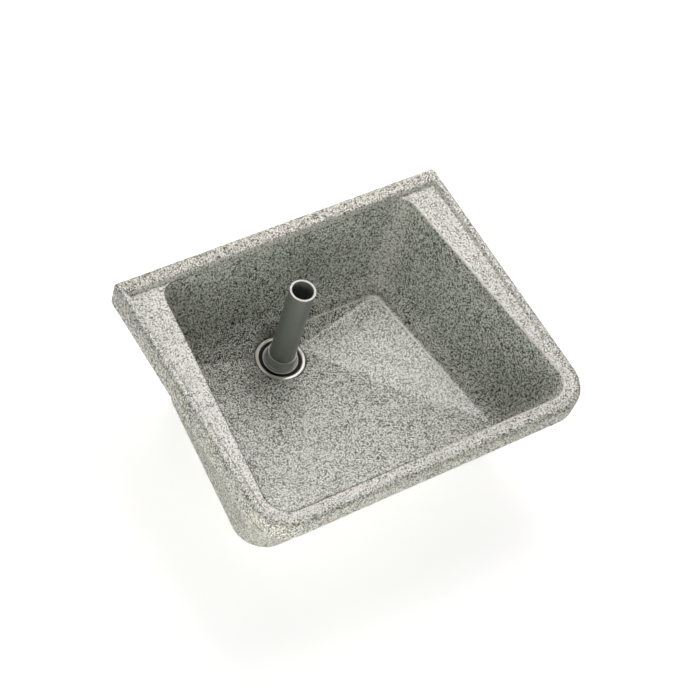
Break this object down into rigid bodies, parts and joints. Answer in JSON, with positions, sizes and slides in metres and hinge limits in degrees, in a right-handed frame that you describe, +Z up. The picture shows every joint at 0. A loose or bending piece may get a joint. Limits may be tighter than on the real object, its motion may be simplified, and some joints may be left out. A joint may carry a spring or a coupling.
{
  "type": "utility sink",
  "caption": "Cast stone utility sink with a deep tapered bowl, raised lip at the back and sides, and a lift-out overflow standpipe in its drain.",
  "frame": {"origin": "on the ground under the middle of the rim's outline, at the level of the foot", "axes": "+X to the right as one stands at the front, +Y to the back edge that goes against the wall, +Z up"},
  "size_m": [0.6, 0.485, 0.2559],
  "materials": {
    "cast_stone": "matt, fine black and white speckle, honed top and rougher sides",
    "ivory_plastic": "satin",
    "black_rubber": "matt",
    "fibre": "matt, pressed fibre",
    "nut_plastic": "moulded, slightly rough",
    "seal_rubber": "satin",
    "grey_plastic": "satin, turned",
    "pipe_plastic": "satin, extruded, with a pale cut end"
  },
  "bodies": {
    "basin": {"basin": "cast_stone", "drain_body": "ivory_plastic", "flange_gasket": "black_rubber", "lower_washer": "black_rubber", "slip_washer": "fibre", "lock_nut": "nut_plastic"},
    "seal": {"plug_seal": "seal_rubber"},
    "standpipe": {"standpipe_plug": "grey_plastic", "standpipe_tube": "pipe_plastic"}
  },
  "joints": [
    {"name": "standpipe_lift", "type": "slide", "parent": "basin", "child": "seal", "axis": [0, 0, 1], "range_m": [0, 0.25]},
    {"name": "standpipe_turn", "type": "hinge", "parent": "seal", "child": "standpipe", "pos_m": [-0.0208, 0.1255, 0.042], "axis": [0, 0, 1], "continuous": true}
  ]
}
